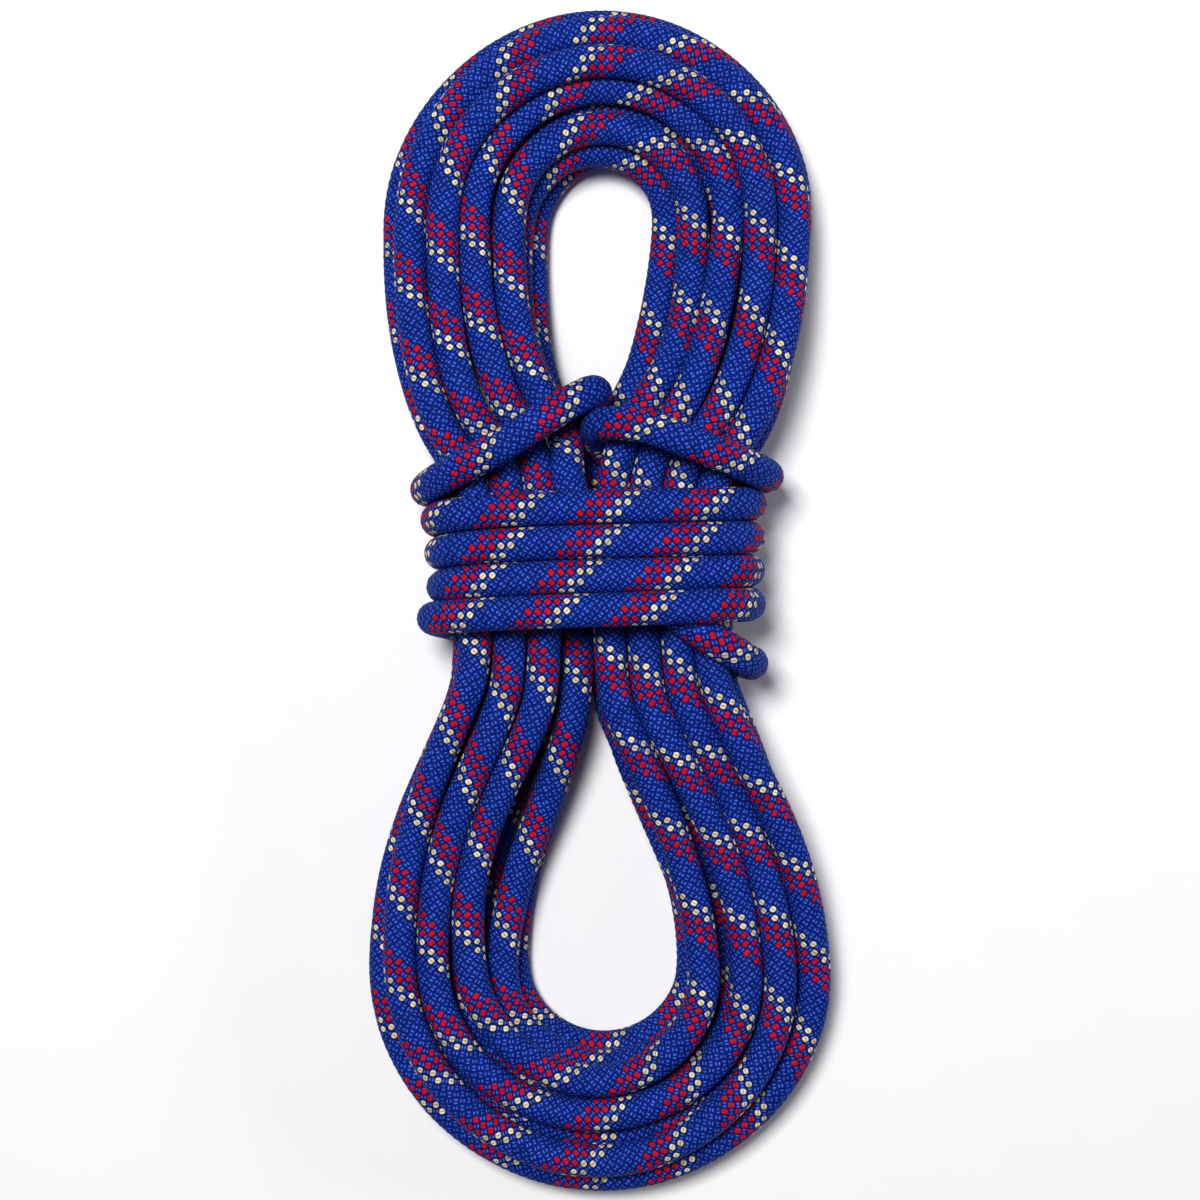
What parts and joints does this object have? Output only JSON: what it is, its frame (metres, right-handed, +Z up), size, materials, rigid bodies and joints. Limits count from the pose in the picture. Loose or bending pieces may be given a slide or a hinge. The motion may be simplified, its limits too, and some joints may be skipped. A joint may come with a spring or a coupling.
{
  "type": "climbing rope hank",
  "caption": "Dynamic climbing rope coiled into a pinched oval hank, wrapped and locked round its waist, with two open eyes and sealed ends",
  "frame": {"origin": "middle of the hank's footprint, on the surface that it lies on", "axes": "+X across the hank, +Y along the hank from the lower lobe to the upper lobe with the lock, +Z up from the surface"},
  "size_m": [0.1294, 0.3412, 0.0621],
  "materials": {
    "sheath": "woven nylon sheath, blue with red and tan tracer yarns",
    "core": "undyed twisted nylon core",
    "sleeve": "shrunk polyolefin sleeve",
    "tip": "melted and set nylon"
  },
  "bodies": {
    "root": {"core_lock_back": "core", "core_lock_left": "core", "core_lock_right": "core", "core_start": "core", "core_tail": "core", "core_turn_01": "core", "core_turn_02": "core", "core_turn_03": "core", "core_turn_04": "core", "core_turn_05": "core", "core_turn_06": "core", "core_turn_07": "core", "core_turn_08": "core", "core_turn_09": "core", "core_turn_10": "core", "core_turn_11": "core", "core_wrap_1": "core", "core_wrap_2": "core", "core_wrap_3": "core", "core_wrap_4": "core", "core_wrap_lead": "core", "sheath_lock_back": "sheath", "sheath_lock_left": "sheath", "sheath_lock_right": "sheath", "sheath_start": "sheath", "sheath_tail": "sheath", "sheath_turn_01": "sheath", "sheath_turn_02": "sheath", "sheath_turn_03": "sheath", "sheath_turn_04": "sheath", "sheath_turn_05": "sheath", "sheath_turn_06": "sheath", "sheath_turn_07": "sheath", "sheath_turn_08": "sheath", "sheath_turn_09": "sheath", "sheath_turn_10": "sheath", "sheath_turn_11": "sheath", "sheath_wrap_1": "sheath", "sheath_wrap_2": "sheath", "sheath_wrap_3": "sheath", "sheath_wrap_4": "sheath", "sheath_wrap_lead": "sheath", "sleeve_start": "sleeve", "sleeve_tail": "sleeve", "tip_start": "tip", "tip_tail": "tip"}
  },
  "joints": []
}
